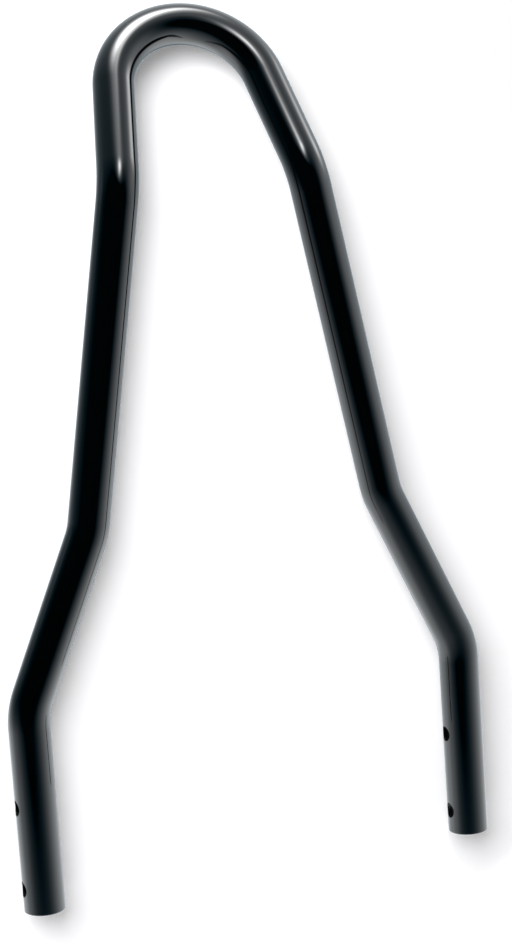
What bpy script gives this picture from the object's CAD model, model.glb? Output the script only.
"""A motorbike sissy bar in gloss black: one steel tube bent into a tall loop.

It is hung as in a product photograph, just in front of a white card, inside a light tent
that is dark towards the camera. Everything is in metres, in the frame of the CAD part:
+X is the bar's right, +Y the rear, +Z up along the legs, and the origin lies midway
between the legs, halfway between the two bolt axes.
"""
import math

import bmesh
import bpy
import numpy as np
from mathutils import Matrix, Vector


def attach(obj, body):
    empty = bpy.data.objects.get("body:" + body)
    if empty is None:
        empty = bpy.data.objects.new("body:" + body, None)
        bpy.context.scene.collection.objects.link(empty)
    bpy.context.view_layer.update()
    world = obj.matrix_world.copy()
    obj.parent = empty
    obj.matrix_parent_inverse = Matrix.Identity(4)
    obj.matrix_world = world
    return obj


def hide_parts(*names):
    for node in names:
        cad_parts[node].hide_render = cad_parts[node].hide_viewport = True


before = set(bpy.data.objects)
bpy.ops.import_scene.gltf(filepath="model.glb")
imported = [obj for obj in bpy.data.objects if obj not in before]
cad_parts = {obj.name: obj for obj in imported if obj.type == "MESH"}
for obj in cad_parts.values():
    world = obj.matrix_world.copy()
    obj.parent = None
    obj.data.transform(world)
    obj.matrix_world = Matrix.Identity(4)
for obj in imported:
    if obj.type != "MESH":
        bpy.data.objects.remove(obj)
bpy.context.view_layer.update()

MM = 0.001

# Tube, the same sizes as in the CAD part
TUBE_R = 11.1 * MM
WALL = 3.0 * MM
BORE_R = TUBE_R - WALL
BEND_R = 43 * MM
LEG_SPACING = 250 * MM
LEG_LENGTH = 109 * MM
SIDE_LENGTH = 183 * MM
TOP_RUN = 47 * MM
FLARE_LEAN = math.radians(24)
SIDE_LEAN = math.radians(10)
TOP_KICK = math.radians(30)
HOLE_R = 4.25 * MM
HOLE_PITCH = 45 * MM
HOLE_EDGE = 13 * MM
LEG_END = -HOLE_PITCH / 2 - HOLE_EDGE

# Rounding of the coat over the cut ends and over both edges of each hole
RIM_ROUND = 0.5 * MM
HOLE_ROUND = 0.15 * MM

# Grid of the tube: columns round it, and steps between its rows along bends and
# straights, both twice as wide in the bore
COLUMNS = 128
BEND_STEP = math.radians(2)
RUN_STEP = 12 * MM

# Cut end: steps over each rounded edge, how far inside those edges the flat ring has its
# rows, and the wall's rows before the first hole, as distances from the end
RIM_STEPS = 6
RING_INSET = 0.1 * MM
RIM_ROWS = [RIM_ROUND, 0.8 * MM, 1.4 * MM, 2.6 * MM, 4.2 * MM]

# Square patch of the grid round each hole: half its width in columns and in rows, the
# step of its rows, and the rows between the patches of the two holes
PATCH_HALF = 14
PATCH_STEP = 0.5 * MM
PATCH_REACH = PATCH_HALF * PATCH_STEP
ROWS_BETWEEN_PATCHES = 6

# Rows of a patch from its square (0) to the hole (1), steps over the rounded edge, and
# rows through the wall
PATCH_SHARES = [0, 0.2, 0.4, 0.58, 0.74, 0.87, 0.95]
EDGE_STEPS = 6
WALL_SHARES = [0.04, 0.35, 0.65, 0.96]

# Points of the tube closer than this are one, and so are those at a pole of the tent
SEAM_GAP = 0.002 * MM
POLE_GAP = 1 * MM

# Slack for rounding when a distance along the tube is matched to a stretch of it
SLACK = 1e-9

# Depth in the bore, kept on the mesh for the finish
DEPTH_LAYER = "bore_depth"

# Camera, as the photograph's perspective gives it
CAMERA_PLACE = (-0.4103, -1.1883, 0.4005)
CAMERA_AZIMUTH = math.radians(-19.564)
CAMERA_DOWN = math.radians(9.679)
CAMERA_ROLL = math.radians(4.022)
CAMERA_LENS = 90.54
CAMERA_NEAR = 0.05
CAMERA_FAR = 50

# White card: its edges left and right, below and above, and the points of its grid
CARD_X = (-0.152, 0.192)
CARD_Z = (-0.2, 0.52)
CARD_COLUMNS = 40
CARD_ROWS = 220

# Clear space between the tube and the card behind it, level with the bolts, and what
# it gains with height
CARD_GAP = 3.9 * MM
CARD_GAP_SLOPE = 0.006

# Height at which the card starts to lean back with the top, and how softly it does
CARD_KICK = 0.333
CARD_SOFT = 12 * MM

# Pale floor: its height, the radius of the small hole in its middle and of its edge, and
# the points of its grid outwards and round
FLOOR_HEIGHT = -0.5
FLOOR_R = (0.001, 1.5)
FLOOR_RINGS = 24
FLOOR_TURNS = 65

# Light tent: its middle and radius, and the points of its grid upwards and round
TENT_CENTRE = (0, 0, 0.2)
TENT_RADIUS = 2.0
TENT_ROWS = 33
TENT_TURNS = 64

# Tint of the tent's light: white plus this colour divided by the light's level and the
# floor together, in linear light
TENT_TINT = (-0.12, 0.0, 0.08)
TENT_TINT_FLOOR = 0.08

# Lights of the tent: azimuth from the camera's side, positive to its right, elevation,
# half width of the soft patch of light, all in degrees, and its level, where 1 is white.
# A patch below zero is a black flag or the dark of the room in front.
TENT_LIGHTS = [
    ("key box over the camera", 22.9, 50.3, 11.8, 3.72),
    ("core of the key box", 19.8, 49.5, 5.2, 15.41),
    ("front of the key box", 16.2, 43.1, 4.4, 5.47),
    ("edge beside the key box", 33.7, 44.7, 8.2, -1.30),
    ("strip over the key box", 42.9, 67.9, 4.7, 6.49),
    ("ceiling", 40.9, 85.3, 9.7, 46.14),
    ("edge of the ceiling", 112.5, 73.4, 5.6, 9.89),
    ("right strip", 112.5, 31.4, 9.1, 5.74),
    ("low right wall", 106.0, -48.8, 41.4, 3.50),
    ("left lamp edge", -128.2, -14.6, 7.8, 0.64),
    ("low back wall", -136.8, -50.6, 28.6, 2.37),
    ("back wall", 142.4, 35.7, 56.2, 2.69),
    ("left wall", -97.1, 18.1, 7.5, 0.27),
    ("back flag", 144.2, 6.6, 28.5, -1.30),
    ("dark side of the back wall", 172.0, 0.0, 20.0, -0.40),
    ("dark room", 70.0, -22.6, 80.2, -1.30),
    ("right wall", 85.7, 16.9, 17.0, 0.86),
    ("low left strip", -105.3, -22.4, 13.1, 1.22),
    ("low left wall", -76.0, -36.0, 17.9, 1.68),
    ("camera flag", -8.9, 8.8, 17.7, -1.29),
    ("table in front", -15.8, -52.0, 37.7, 0.83),
    ("flag behind the bar", 180.0, -18.0, 13.0, -0.90),
]

# Soft box that throws the shadow: width and distance, watts, and where it stands, as
# azimuth and elevation from the camera's side in degrees
SHADOW_BOX_SIZE = 1.4
SHADOW_BOX_FAR = 1.6
SHADOW_BOX_POWER = 40
SHADOW_BOX_SIDE = (-16.4, 31.0)

# Strength of the room's light on all that the camera doesn't see directly
ROOM_FILL = 0.12


def linear(hex_colour):
    """sRGB hex to linear: c / 12.92 up to 0.04045, and ((c + 0.055) / 1.055) ** 2.4 above."""
    c = np.array([int(hex_colour[i:i + 2], 16) / 255 for i in (1, 3, 5)])
    low = c / 12.92
    high = ((c + 0.055) / 1.055) ** 2.4
    return (*np.where(c <= 0.04045, low, high), 1.0)


def add(tree, kind, inputs=(), **settings):
    """Adds a node. inputs pairs the name or number of an input with its value, or with
    the socket that feeds it."""
    node = tree.nodes.new(kind)
    for name, value in settings.items():
        setattr(node, name, value)
    for name, value in dict(inputs).items():
        if isinstance(value, bpy.types.NodeSocket):
            tree.links.new(value, node.inputs[name])
        else:
            node.inputs[name].default_value = value
    return node


def new_material(name):
    material = bpy.data.materials.new(name)
    material.use_nodes = True
    material.node_tree.nodes.clear()
    return material, material.node_tree


# Bent centre line

def turned(axes, about, angle):
    """Axes x, y and z, turned about their own y or z by an angle."""
    x, y, z = axes
    c = math.cos(angle)
    s = math.sin(angle)
    if about == "z":
        return (c * x + s * y, c * y - s * x, z)
    return (c * x - s * z, y, c * z + s * x)


def bending_program():
    """Straight run, turn of the tube about itself, and bend, seven times over, and then
    the last straight run."""
    lean_sin = math.sin(SIDE_LEAN)
    kick = math.acos(lean_sin ** 2 + math.cos(SIDE_LEAN) ** 2 * math.cos(TOP_KICK))
    spin = math.atan2(math.sin(TOP_KICK), lean_sin * (1 - math.cos(TOP_KICK))) - math.pi
    side = FLARE_LEAN - SIDE_LEAN
    top = math.pi - 2 * SIDE_LEAN

    def setback(angle):
        return BEND_R * math.tan(angle / 2)

    top_length = setback(kick) + TOP_RUN + setback(top)
    narrowing = (SIDE_LENGTH + top_length) * lean_sin
    flare_length = (LEG_SPACING / 2 - narrowing) / math.sin(FLARE_LEAN)
    leg_run = LEG_LENGTH - setback(FLARE_LEAN)
    flare_run = flare_length - setback(FLARE_LEAN) - setback(side)
    side_run = SIDE_LENGTH - setback(side) - setback(kick)
    return [
        (leg_run, 0, FLARE_LEAN),
        (flare_run, math.pi, side),
        (side_run, spin, kick),
        (TOP_RUN, spin, top),
        (TOP_RUN, -spin, kick),
        (side_run, -spin, side),
        (flare_run, math.pi, FLARE_LEAN),
        (leg_run, 0, 0),
    ]


def stretches():
    """The centre line as straight and bent stretches: each with its start, its length,
    the bend's angle, the point and axes at its start, and the tube's turn so far."""
    place = np.array([-LEG_SPACING / 2, 0, LEG_END])
    axes = tuple(np.eye(3))
    out = []
    start = 0.0
    turn = 0.0
    for run, spin, bend in bending_program():
        out.append((start, run, 0.0, place, axes, turn))
        place = place + run * axes[2]
        start += run
        axes = turned(axes, "z", spin)
        turn += spin
        if bend == 0:
            break
        out.append((start, BEND_R * bend, bend, place, axes, turn))
        x, y, z = axes
        place = place + BEND_R * ((1 - math.cos(bend)) * x + math.sin(bend) * z)
        axes = turned(axes, "y", bend)
        start += BEND_R * bend
    return out


def along(stations):
    """Point and two cross axes of the tube at each distance along the centre line.
    A straight adds distance times its heading. A bend of radius r swings the point by
    r (1 - cos a) inwards and r sin a forwards. The cross axes are carried along
    without twist, because the tube's own turns are taken off again."""
    centre = np.zeros((len(stations), 3))
    across = np.zeros((len(stations), 3))
    beside = np.zeros((len(stations), 3))
    for start, length, bend, place, (x, y, z), turn in stretches():
        here = (stations >= start - SLACK) & (stations <= start + length + SLACK)
        s = (stations[here] - start)[:, None]
        if bend:
            a = s / BEND_R
            centre[here] = place + BEND_R * ((1 - np.cos(a)) * x + np.sin(a) * z)
            inward = np.cos(a) * x - np.sin(a) * z
        else:
            centre[here] = place + s * z
            inward = x + 0 * s
        across[here] = math.cos(turn) * inward - math.sin(turn) * y
        beside[here] = math.sin(turn) * inward + math.cos(turn) * y
    return centre, across, beside


# Skin of the tube

def end_rows():
    """Rows of a leg's end, as distances from it: a few over the rim, even ones across
    the patch round each hole, and wider ones between the patches."""
    patch = np.arange(-PATCH_HALF, PATCH_HALF + 1) * PATCH_STEP
    lower = HOLE_EDGE + patch
    upper = HOLE_EDGE + HOLE_PITCH + patch
    between = np.linspace(
        HOLE_EDGE + PATCH_REACH, HOLE_EDGE + HOLE_PITCH - PATCH_REACH, ROWS_BETWEEN_PATCHES + 2
    )[1:-1]
    return np.concatenate([RIM_ROWS, lower, between, upper])


def rows(bend_step, run_step):
    """Rows of the whole tube, as distances along it, and its length: the end rows at
    both ends, and steps between them that follow each straight and each bend."""
    ends = end_rows()
    parts = stretches()
    total = parts[-1][0] + parts[-1][1]
    middle = []
    for start, length, bend, *_ in parts:
        steps = math.ceil(bend / bend_step) if bend else math.ceil(length / run_step)
        middle.append(start + np.linspace(0, length, steps + 1)[:-1])
    middle = np.concatenate(middle)
    clear = ends[-1] + run_step / 2
    middle = middle[(middle > clear) & (middle < total - clear)]
    return np.concatenate([ends, middle, total - ends[::-1]]), total


def rim_profile():
    """Rounded cut end, from the outer wall to the bore, as radius and distance from the
    end: a quarter circle, the flat ring with a row just inside each edge, and a
    quarter circle back."""
    t = np.linspace(0, math.pi / 2, RIM_STEPS + 1)
    outer_r = TUBE_R - RIM_ROUND * (1 - np.cos(t))
    outer_s = RIM_ROUND * (1 - np.sin(t))
    ring = np.array([TUBE_R - RIM_ROUND - RING_INSET, BORE_R + RIM_ROUND + RING_INSET])
    inner_r = BORE_R + RIM_ROUND * (1 - np.cos(t[::-1]))
    inner_s = outer_s[::-1]
    radius = np.concatenate([outer_r[1:], ring, inner_r[:-1]])
    distance = np.concatenate([outer_s[1:], 0 * ring, inner_s[:-1]])
    return radius, distance


def tube_grid():
    """The whole skin of the tube as one closed grid. The profile goes up the outer wall,
    over the far rim, back down the bore and over the near rim. Each of its points is
    carried round the tube: centre + radius (cos a across + sin a beside)."""
    outer, total = rows(BEND_STEP, RUN_STEP)
    inner, _ = rows(2 * BEND_STEP, 2 * RUN_STEP)
    rim_r, rim_s = rim_profile()
    distance = np.concatenate([outer, total - rim_s, inner[::-1], rim_s[::-1]])
    radius = np.concatenate([
        np.full(len(outer), TUBE_R), rim_r, np.full(len(inner), BORE_R), rim_r[::-1],
    ])
    centre, across, beside = along(distance)
    angle = np.arange(COLUMNS) * 2 * math.pi / COLUMNS
    cos = np.cos(angle)[None, :, None]
    sin = np.sin(angle)[None, :, None]
    ring = cos * across[:, None] + sin * beside[:, None]
    points = centre[:, None] + radius[:, None, None] * ring

    # Quads between neighbouring rows and columns, both of which close on themselves
    i, j = np.meshgrid(np.arange(len(distance)), np.arange(COLUMNS), indexing="ij")
    up = (i + 1) % len(distance)
    beyond = (j + 1) % COLUMNS
    corners = [i * COLUMNS + j, i * COLUMNS + beyond, up * COLUMNS + beyond, up * COLUMNS + j]
    quads = np.stack(corners, -1)

    # Cells that the patches round the bolt holes take instead
    row_mid = (distance + np.roll(distance, -1)) / 2
    same_wall = radius == np.roll(radius, -1)
    from_lower = np.minimum(row_mid, total - row_mid) - HOLE_EDGE
    by_lower = np.abs(from_lower) < PATCH_REACH
    by_upper = np.abs(from_lower - HOLE_PITCH) < PATCH_REACH
    in_rows = same_wall & (by_lower | by_upper)
    column = (np.arange(COLUMNS) + PATCH_HALF) % (COLUMNS // 2)
    in_columns = column < 2 * PATCH_HALF
    keep = ~(in_rows[:, None] & in_columns[None, :])
    depth = np.where(radius < TUBE_R - WALL / 2, np.minimum(distance, total - distance), 0)
    return points.reshape(-1, 3), quads[keep], np.repeat(depth, COLUMNS), total


# Walls round the bolt holes

def hole_skin():
    """The wall round one bolt hole, as local points (out, aside, along) on a closed grid.
    Its rows go from a square of grid cells on the outer wall to the hole's edge, over
    a parabola tangent to both, through the wall, and back out to the same square on
    the bore."""
    side = np.arange(-PATCH_HALF, PATCH_HALF)
    far = np.full(2 * PATCH_HALF, PATCH_HALF)
    u = np.concatenate([far, -side, -far, side])
    v = np.concatenate([side, far, -side, -far])
    turn = np.arctan2(v, u)
    column_angle = 2 * math.pi / COLUMNS

    def wall_point(wall_r, rho):
        aside = rho * np.cos(turn)
        return np.stack([np.sqrt(wall_r ** 2 - aside ** 2), aside, rho * np.sin(turn)], -1)

    def spread(wall_r, share):
        rho = HOLE_R + HOLE_ROUND
        aside = np.arcsin(rho * np.cos(turn) / wall_r)
        angle = (1 - share) * u * column_angle + share * aside
        up = (1 - share) * v * PATCH_STEP + share * rho * np.sin(turn)
        return np.stack([wall_r * np.cos(angle), wall_r * np.sin(angle), up], -1)

    def rounded(wall_r, into_wall):
        edge = wall_point(wall_r, HOLE_R)
        start = wall_point(wall_r, HOLE_R + HOLE_ROUND)
        stop = edge + into_wall * HOLE_ROUND * np.array([1, 0, 0])
        t = np.linspace(0, 1, EDGE_STEPS + 1)[:, None, None]
        return (1 - t) ** 2 * start + 2 * t * (1 - t) * edge + t ** 2 * stop

    outer_edge = rounded(TUBE_R, -1)
    inner_edge = rounded(BORE_R, 1)[::-1]
    through = inner_edge[0] - outer_edge[-1]
    return np.array([
        *[spread(TUBE_R, share) for share in PATCH_SHARES],
        *outer_edge,
        *[outer_edge[-1] + share * through for share in WALL_SHARES],
        *inner_edge,
        *[spread(BORE_R, share) for share in PATCH_SHARES[::-1]],
    ])


def hole_grids(total):
    """The eight walls round the bolt holes, each set across its leg on one side of it."""
    local = hole_skin()
    count, ring = local.shape[:2]
    i, j = np.meshgrid(np.arange(count - 1), np.arange(ring), indexing="ij")
    beyond = (j + 1) % ring
    corners = [i * ring + j, i * ring + beyond, (i + 1) * ring + beyond, (i + 1) * ring + j]
    quads = np.stack(corners, -1).reshape(-1, 4)
    radius = np.hypot(local[..., 0], local[..., 1])
    share = np.clip((TUBE_R - radius) / WALL, 0, 1)
    points = []
    depths = []
    faces = []
    near_end = [HOLE_EDGE, HOLE_EDGE + HOLE_PITCH]
    far_end = [total - HOLE_EDGE - HOLE_PITCH, total - HOLE_EDGE]
    for distance in near_end + far_end:
        centre, across, beside = (a[0] for a in along(np.array([distance])))
        heading = np.cross(across, beside)
        for side in (1, -1):
            place = centre + side * local[..., :1] * across + side * local[..., 1:2] * beside
            place = place + local[..., 2:] * heading
            faces.append(quads + len(points) * count * ring)
            points.append(place.reshape(-1, 3))
            depths.append((share * min(distance, total - distance)).ravel())
    return np.concatenate(points), np.concatenate(faces), np.concatenate(depths)


def mesh_object(name, points, quads):
    mesh = bpy.data.meshes.new(name)
    mesh.from_pydata(points.tolist(), [], quads.tolist())
    mesh.polygons.foreach_set("use_smooth", np.full(len(mesh.polygons), True))
    mesh.update()
    piece = bpy.data.objects.new(name, mesh)
    bpy.context.scene.collection.objects.link(piece)
    return piece


def merge_doubles(mesh, distance):
    work = bmesh.new()
    work.from_mesh(mesh)
    bmesh.ops.remove_doubles(work, verts=work.verts, dist=distance)
    work.to_mesh(mesh)
    work.free()
    mesh.update()


def coated_tube():
    """Skin of the tube and the walls round its bolt holes, joined along their seams."""
    skin, skin_quads, skin_depth, total = tube_grid()
    holes, hole_quads, hole_depth = hole_grids(total)
    points = np.concatenate([skin, holes])
    quads = np.concatenate([skin_quads, hole_quads + len(skin)])
    depth = np.concatenate([skin_depth, hole_depth])
    piece = mesh_object("coated_tube", points, quads)
    layer = piece.data.attributes.new(DEPTH_LAYER, "FLOAT", "POINT")
    layer.data.foreach_set("value", depth.astype(np.float32))
    merge_doubles(piece.data, SEAM_GAP)
    return piece


# Finishes

def powder_coat():
    """Gloss black polyester powder coat, sprayed and baked over drawn steel tube. It
    reads as a wet, deep black with clean reflections, a trace cool, over a faint
    orange peel. It is thin and dull in the bolt holes and at the mouth of the bore, and
    deep in the bore, where no powder reaches, it gives way to bare steel."""
    material, tree = new_material("gloss_black_powder_coat")
    where = add(tree, "ShaderNodeTexCoord").outputs["Object"]

    # Orange peel: ripples 2.5 mm apart. The noise keeps to about half of its range, so
    # they are about 2 micrometres high.
    peel_pitch = 2.5 * MM
    peel_range = 0.004 * MM
    peel = {"Vector": where, "Scale": 1 / peel_pitch, "Detail": 1.0, "Roughness": 0.4}
    ripples = add(tree, "ShaderNodeTexNoise", peel).outputs["Fac"]
    relief = {"Height": ripples, "Strength": 1.0, "Distance": peel_range}
    bump = add(tree, "ShaderNodeBump", relief).outputs["Normal"]

    # Gloss and depth of the black vary a little from place to place, over some 30 mm
    cloud_pitch = 30 * MM
    cloud = {"Vector": where, "Scale": 1 / cloud_pitch, "Detail": 2.0}
    drift = add(tree, "ShaderNodeTexNoise", cloud).outputs["Fac"]
    spread = {"From Min": 0.3, "From Max": 0.7, "To Min": 0.035, "To Max": 0.05}
    gloss = add(tree, "ShaderNodeMapRange", {"Value": drift, **spread}).outputs["Result"]
    blacks = {"Factor": drift, "A": linear("#000101"), "B": linear("#010304")}
    black = add(tree, "ShaderNodeMix", blacks, data_type="RGBA").outputs["Result"]

    # In the bolt holes and the bore the powder lands thin and dry, so the coat is dull
    # there: its roughness rises by 0.5 over the first 5 mm of depth
    depth = add(tree, "ShaderNodeAttribute", attribute_name=DEPTH_LAYER).outputs["Fac"]
    reach = {"From Min": 0.2 * MM, "From Max": 5 * MM, "To Min": 0.0, "To Max": 0.5}
    dryness = add(tree, "ShaderNodeMapRange", {"Value": depth, **reach}).outputs["Result"]
    roughness = add(tree, "ShaderNodeMath", {0: gloss, 1: dryness}, operation="ADD").outputs[0]
    surface = {"Base Color": black, "Roughness": roughness, "IOR": 1.5, "Normal": bump}
    coat = add(tree, "ShaderNodeBsdfPrincipled", surface).outputs[0]

    # Bare drawn steel in the bore, dull grey and finely mottled, with grains 0.4 mm apart
    grain_pitch = 0.4 * MM
    grain = {"Vector": where, "Scale": 1 / grain_pitch, "Detail": 2.0}
    mottle = add(tree, "ShaderNodeTexNoise", grain).outputs["Fac"]
    greys = {"Factor": mottle, "A": linear("#5b5c5d"), "B": linear("#77787a")}
    grey = add(tree, "ShaderNodeMix", greys, data_type="RGBA").outputs["Result"]
    metal = {"Base Color": grey, "Metallic": 1.0, "Roughness": 0.42}
    steel = add(tree, "ShaderNodeBsdfPrincipled", metal).outputs[0]

    # The coat thins out between 70 and 115 mm into the bore
    thinning = {"Value": depth, "From Min": 70 * MM, "From Max": 115 * MM}
    bare = add(tree, "ShaderNodeMapRange", thinning).outputs["Result"]
    both = add(tree, "ShaderNodeMixShader", {0: bare, 1: coat, 2: steel}).outputs[0]
    add(tree, "ShaderNodeOutputMaterial", {"Surface": both})
    return material


def seen_directly(tree):
    """1 for what the camera sees, straight on or in gloss and glass, and 0 for the rest."""
    rays = add(tree, "ShaderNodeLightPath").outputs
    gloss = {0: rays["Is Camera Ray"], 1: rays["Is Glossy Ray"]}
    two = add(tree, "ShaderNodeMath", gloss, operation="MAXIMUM").outputs[0]
    glass = {0: two, 1: rays["Is Transmission Ray"]}
    return add(tree, "ShaderNodeMath", glass, operation="MAXIMUM").outputs[0]


def white_paper(name, colour, glow, fade_start, fade_stop):
    """Matt white paper. It glows a little for the camera, so that it comes out white
    where no shadow falls, and more away from the bar, so that its edges are lost in the
    white round it. It has one side: from behind it is clear."""
    material, tree = new_material(name)
    place = add(tree, "ShaderNodeTexCoord").outputs["Object"]
    apart = {0: place, 1: TENT_CENTRE}
    away = add(tree, "ShaderNodeVectorMath", apart, operation="DISTANCE").outputs["Value"]
    fade = {"From Min": fade_start, "From Max": fade_stop, "To Min": glow, "To Max": 1.0}
    near = add(tree, "ShaderNodeMapRange", {"Value": away, **fade}).outputs["Result"]
    seen = {0: seen_directly(tree), 1: near}
    level = add(tree, "ShaderNodeMath", seen, operation="MULTIPLY").outputs[0]
    matt = add(tree, "ShaderNodeBsdfDiffuse", {"Color": linear(colour)}).outputs[0]
    light = add(tree, "ShaderNodeEmission", {"Strength": level}).outputs[0]
    paper = add(tree, "ShaderNodeAddShader", {0: matt, 1: light}).outputs[0]
    behind = add(tree, "ShaderNodeNewGeometry").outputs["Backfacing"]
    clear = add(tree, "ShaderNodeBsdfTransparent").outputs[0]
    both = add(tree, "ShaderNodeMixShader", {0: behind, 1: paper, 2: clear}).outputs[0]
    add(tree, "ShaderNodeOutputMaterial", {"Surface": both})
    return material


def direction(azimuth, elevation):
    """Unit vector to a place on the tent, in degrees from the camera's side and level."""
    a = CAMERA_AZIMUTH + math.radians(azimuth)
    e = math.radians(elevation)
    return (math.sin(a) * math.cos(e), -math.cos(a) * math.cos(e), math.sin(e))


def tent_cloth():
    """Lit white cloth of the light tent. Its level is the sum of soft patches of light,
    each level * exp(sharpness (cos angle - 1)), which halves at the patch's width. The
    dimmer it is, the bluer, as cloth lit by the room."""
    material, tree = new_material("lit_tent_cloth")
    place = add(tree, "ShaderNodeTexCoord").outputs["Object"]
    apart = {0: place, 1: TENT_CENTRE}
    outward = add(tree, "ShaderNodeVectorMath", apart, operation="SUBTRACT").outputs[0]
    ray = add(tree, "ShaderNodeVectorMath", {0: outward}, operation="NORMALIZE").outputs[0]
    total = 0.0
    for label, azimuth, elevation, half_width, level in TENT_LIGHTS:
        sharpness = math.log(2) / (1 - math.cos(math.radians(half_width)))
        pair = {0: ray, 1: direction(azimuth, elevation)}
        facing = add(tree, "ShaderNodeVectorMath", pair, operation="DOT_PRODUCT", label=label)
        fall = {0: facing.outputs["Value"], 1: sharpness, 2: -sharpness}
        power = add(tree, "ShaderNodeMath", fall, operation="MULTIPLY_ADD").outputs[0]
        patch = add(tree, "ShaderNodeMath", {0: power}, operation="EXPONENT").outputs[0]
        lights = {0: patch, 1: level, 2: total}
        total = add(tree, "ShaderNodeMath", lights, operation="MULTIPLY_ADD").outputs[0]
    lit = add(tree, "ShaderNodeMath", {0: total, 1: 0.0}, operation="MAXIMUM").outputs[0]
    raise_by = {0: lit, 1: TENT_TINT_FLOOR}
    raised = add(tree, "ShaderNodeMath", raise_by, operation="ADD").outputs[0]
    dimness = add(tree, "ShaderNodeMath", {0: 1.0, 1: raised}, operation="DIVIDE").outputs[0]
    shift = {0: dimness, 1: TENT_TINT, 2: (1.0, 1.0, 1.0)}
    tint = add(tree, "ShaderNodeVectorMath", shift, operation="MULTIPLY_ADD").outputs[0]
    light = add(tree, "ShaderNodeEmission", {"Strength": lit, "Color": tint}).outputs[0]
    add(tree, "ShaderNodeOutputMaterial", {"Surface": light})
    material.cycles.emission_sampling = "NONE"
    return material


# Stage

def grid_quads(count_u, count_v):
    """Quads of an open grid of count_u by count_v points."""
    i, j = np.meshgrid(np.arange(count_u - 1), np.arange(count_v - 1), indexing="ij")
    near = i * count_v + j
    far = near + count_v
    return np.stack([near, far, far + 1, near + 1], -1).reshape(-1, 4)


def card():
    """White card close behind the bar. It stands straight behind the legs and sides, and
    leans back with the top: y = gap + small slope * z + steep slope * softplus of the
    height above the kick."""
    x = np.linspace(*CARD_X, CARD_COLUMNS)
    z = np.linspace(*CARD_Z, CARD_ROWS)
    y = TUBE_R + CARD_GAP + CARD_GAP_SLOPE * z
    y = y + math.tan(TOP_KICK) * CARD_SOFT * np.logaddexp(0, (z - CARD_KICK) / CARD_SOFT)
    points = np.stack([np.repeat(x, len(z)), np.tile(y, len(x)), np.tile(z, len(x))], -1)
    return mesh_object("white_card", points, grid_quads(len(x), len(z)))


def floor():
    """Pale round floor well below the bar, which hangs by its bolts. It is a disc with a
    small hole in its middle: radius out, and turn round it."""
    radius = np.linspace(*FLOOR_R, FLOOR_RINGS)
    turn = np.linspace(0, 2 * math.pi, FLOOR_TURNS)
    r, t = np.meshgrid(radius, turn, indexing="ij")
    points = np.stack([r * np.cos(t), r * np.sin(t), np.full_like(r, FLOOR_HEIGHT)], -1)
    return mesh_object("pale_floor", points.reshape(-1, 3), grid_quads(len(radius), len(turn)))


def tent():
    """Round tent: a sphere, as height from pole to pole and turn about it."""
    turns = TENT_TURNS
    height = np.linspace(-math.pi / 2, math.pi / 2, TENT_ROWS)
    turn = np.arange(turns) * 2 * math.pi / turns
    h, t = np.meshgrid(height, turn, indexing="ij")
    outward = np.stack([np.cos(h) * np.cos(t), np.cos(h) * np.sin(t), np.sin(h)], -1)
    points = TENT_RADIUS * outward + TENT_CENTRE
    i, j = np.meshgrid(np.arange(len(height) - 1), np.arange(turns), indexing="ij")
    k = (j + 1) % turns
    corners = [i * turns + j, (i + 1) * turns + j, (i + 1) * turns + k, i * turns + k]
    piece = mesh_object("light_tent", points.reshape(-1, 3), np.stack(corners, -1).reshape(-1, 4))
    merge_doubles(piece.data, POLE_GAP)
    return piece


# Bar
tube = coated_tube()
tube.data.materials.append(powder_coat())
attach(tube, "root")
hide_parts("bent_tube")

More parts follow.
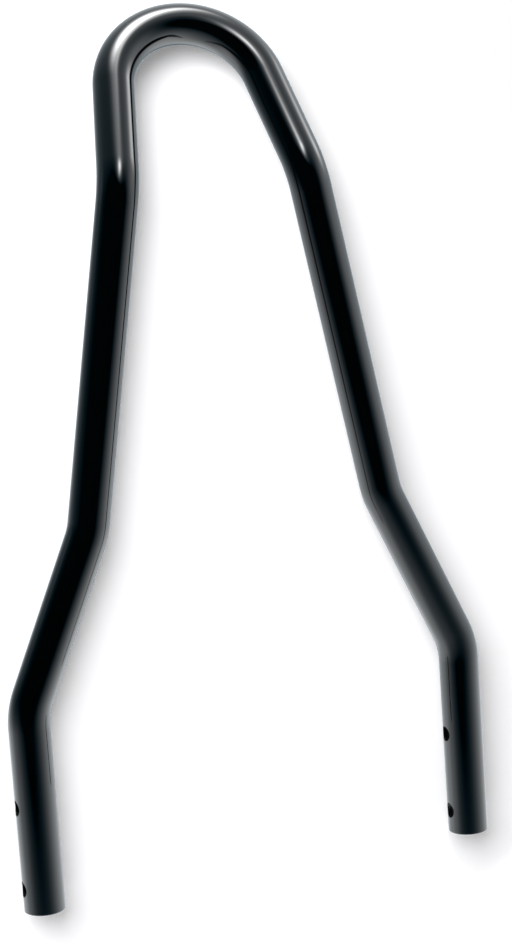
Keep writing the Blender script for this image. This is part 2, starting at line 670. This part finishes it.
# Card, floor and tent
card_paper = white_paper("white_card_paper", "#f0f0f2", glow=0.20, fade_start=0.30, fade_stop=0.38)
floor_paper = white_paper("pale_floor_paper", "#e8e8e8", glow=0.50, fade_start=0.75, fade_stop=1.3)
backdrop = card()
backdrop.data.materials.append(card_paper)
ground = floor()
ground.data.materials.append(floor_paper)
cloth = tent()
cloth.data.materials.append(tent_cloth())
cloth.visible_camera = False
cloth.visible_diffuse = False
cloth.visible_shadow = False

# The tent alone shows in the coat: its own low parts stand for the paper there
backdrop.visible_glossy = False
ground.visible_glossy = False

# Soft box that throws the bar's shadow on the card, to the right and down
box = bpy.data.lights.new("shadow_box", "AREA")
box.shape = "DISK"
box.size = SHADOW_BOX_SIZE
box.energy = SHADOW_BOX_POWER
lamp = bpy.data.objects.new("shadow_box", box)
bpy.context.scene.collection.objects.link(lamp)
toward = np.array(direction(*SHADOW_BOX_SIDE))
lamp.location = SHADOW_BOX_FAR * toward + np.array(TENT_CENTRE)
lamp.rotation_mode = "QUATERNION"
lamp.rotation_quaternion = Vector(toward).to_track_quat("Z", "Y")
lamp.visible_glossy = False

# World: white to the camera, soft fill for everything else
world = bpy.data.worlds.new("studio")
bpy.context.scene.world = world
world.use_nodes = True
sky = world.node_tree
sky.nodes.clear()
room = {"Value": seen_directly(sky), "To Min": ROOM_FILL, "To Max": 1.0}
strength = add(sky, "ShaderNodeMapRange", room).outputs["Result"]
air = {"Strength": strength, "Color": linear("#ffffff")}
white = add(sky, "ShaderNodeBackground", air).outputs[0]
add(sky, "ShaderNodeOutputWorld", {"Surface": white})

# Camera
camera_data = bpy.data.cameras.new("camera")
camera_data.lens = CAMERA_LENS
camera_data.clip_start = CAMERA_NEAR
camera_data.clip_end = CAMERA_FAR
camera = bpy.data.objects.new("camera", camera_data)
bpy.context.scene.collection.objects.link(camera)
forward = -np.array(direction(0, math.degrees(CAMERA_DOWN)))
right = np.array([math.cos(CAMERA_AZIMUTH), math.sin(CAMERA_AZIMUTH), 0])
up = np.cross(right, forward)
rolled_right = math.cos(CAMERA_ROLL) * right - math.sin(CAMERA_ROLL) * up
rolled_up = math.sin(CAMERA_ROLL) * right + math.cos(CAMERA_ROLL) * up
turn = Matrix(np.stack([rolled_right, rolled_up, -forward], 1).tolist()).to_4x4()
camera.matrix_world = Matrix.Translation(CAMERA_PLACE) @ turn
bpy.context.scene.camera = camera
bpy.context.scene.view_settings.view_transform = "Standard"
